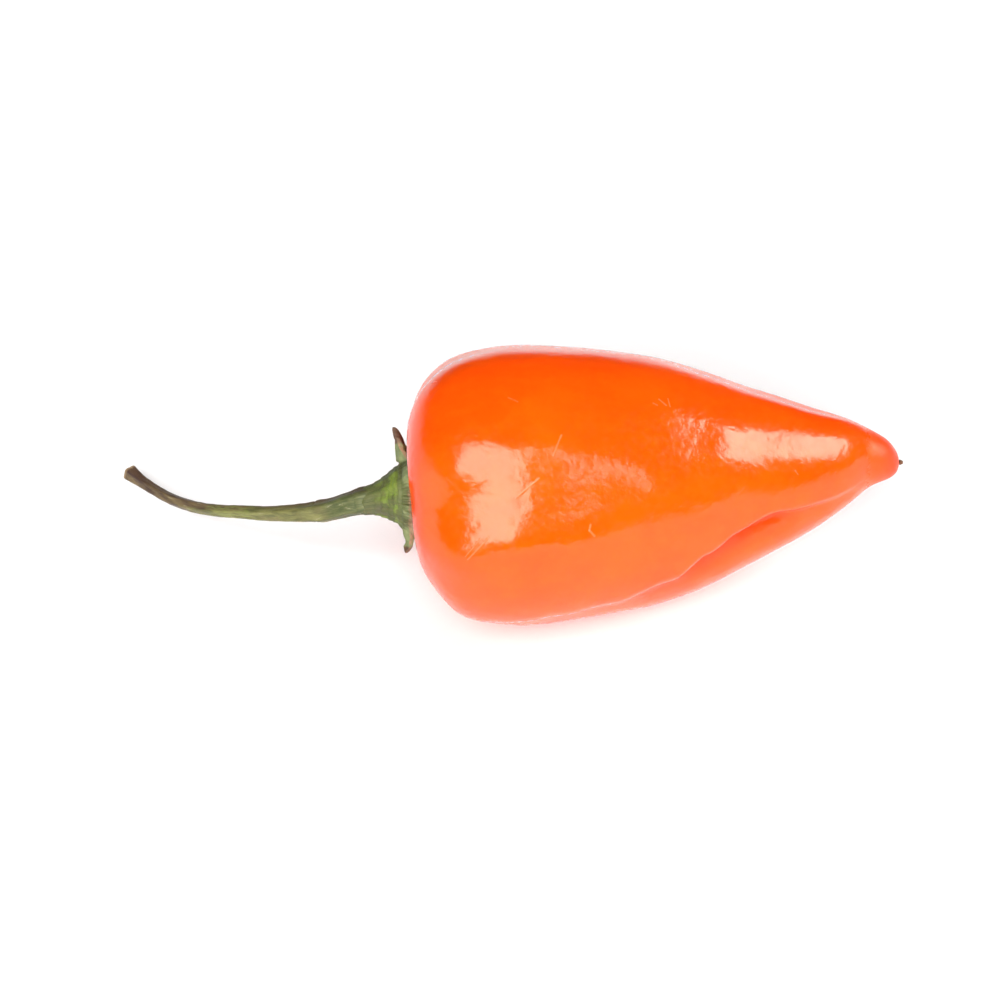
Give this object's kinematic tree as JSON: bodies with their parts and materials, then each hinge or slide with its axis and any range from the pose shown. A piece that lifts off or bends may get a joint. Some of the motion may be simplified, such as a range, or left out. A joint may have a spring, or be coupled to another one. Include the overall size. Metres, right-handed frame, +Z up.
{
  "type": "chilli pepper",
  "caption": "Lantern-shaped chilli pepper as picked: a lobed, tapering pod with its green calyx, curved stem and dried style point, lying on its side.",
  "frame": {"origin": "middle of the whole pepper's footprint, on the surface it lies on", "axes": "+X along the pepper from the stem's cut end towards the pod's tip; -Y the side that faces the viewer; +Z up"},
  "size_m": [0.0812, 0.0336, 0.0288],
  "materials": {
    "pod_skin": "gloss",
    "calyx_green": "satin",
    "stem_green": "matte",
    "dry_brown": "matte"
  },
  "bodies": {
    "root": {"pod": "pod_skin", "calyx": "calyx_green", "stem": "stem_green", "style_point": "dry_brown"}
  },
  "joints": []
}
